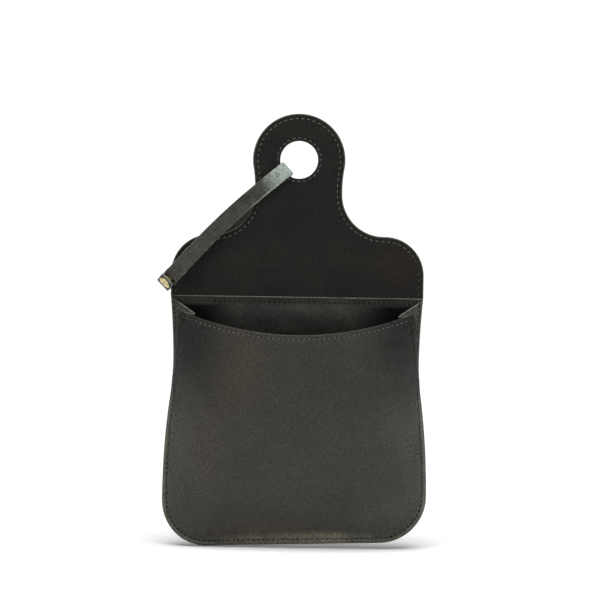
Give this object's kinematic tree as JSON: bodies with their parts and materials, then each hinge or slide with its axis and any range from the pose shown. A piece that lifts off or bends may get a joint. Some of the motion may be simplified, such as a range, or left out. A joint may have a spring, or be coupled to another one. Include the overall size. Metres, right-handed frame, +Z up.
{
  "type": "treat pouch",
  "caption": "Leather pouch with an open, bowed mouth, side gussets, a fold-over flap ending in a ring, and a snap-fastened loop strap through the ring.",
  "frame": {"origin": "middle of the pouch's rear face, 75 mm below the fold line, where it lies on the wearer's hip", "axes": "+Z up with the flap stood open above the pouch, front faces -Y, +X to the right seen from the front"},
  "size_m": [0.1651, 0.0386, 0.2607],
  "materials": {
    "leather_black": "smooth, satin black leather",
    "leather_lining": "matt dark leather lining",
    "strap_leather": "worn, mottled black leather",
    "thread_grey": "waxed grey thread",
    "snap_brass": "polished, lightly worn"
  },
  "bodies": {
    "pouch": {"back_panel": "leather_black", "back_lining": "leather_lining", "front_panel": "leather_black", "mouth_facing": "leather_lining", "gusset_left": "leather_black", "gusset_right": "leather_black", "top_thread": "thread_grey", "side_thread": "thread_grey", "mouth_thread": "thread_grey", "seam_thread": "thread_grey"},
    "flap_bridge": {"bridge_panel": "leather_black", "bridge_lining": "leather_lining", "bridge_thread": "thread_grey"},
    "flap": {"flap_panel": "leather_black", "flap_lining": "leather_lining", "flap_thread": "thread_grey", "ring_thread": "thread_grey"},
    "strap": {"strap": "strap_leather", "snap_stud": "snap_brass", "snap_post": "snap_brass", "strap_thread": "thread_grey"},
    "snap_tab": {"strap_tab": "strap_leather", "snap_cap": "snap_brass", "snap_socket": "snap_brass"}
  },
  "joints": [
    {"name": "flap_fold", "type": "hinge", "parent": "pouch", "child": "flap_bridge", "pos_m": [0, -0.0026, 0.075], "axis": [1, 0, 0], "range_deg": [0, 92]},
    {"name": "flap_wrap", "type": "hinge", "parent": "flap_bridge", "child": "flap", "pos_m": [0, -0.0022, 0.109], "axis": [1, 0, 0], "range_deg": [0, 80.1]},
    {"name": "strap_swing", "type": "hinge", "parent": "flap", "child": "strap", "pos_m": [0, -0.0011, 0.158], "axis": [0, 1, 0], "range_deg": [0, 134]},
    {"name": "snap_tab", "type": "hinge", "parent": "strap", "child": "snap_tab", "pos_m": [-0.08076, 0.0005, 0.08167], "axis": [0.6934, 0, -0.7206], "range_deg": [0, 112]}
  ],
  "couplings": [
    {"joint": "flap_wrap", "follows": "flap_fold", "ratio": 0.87},
    {"joint": "strap_swing", "follows": "flap_fold", "ratio": 1.4565}
  ]
}
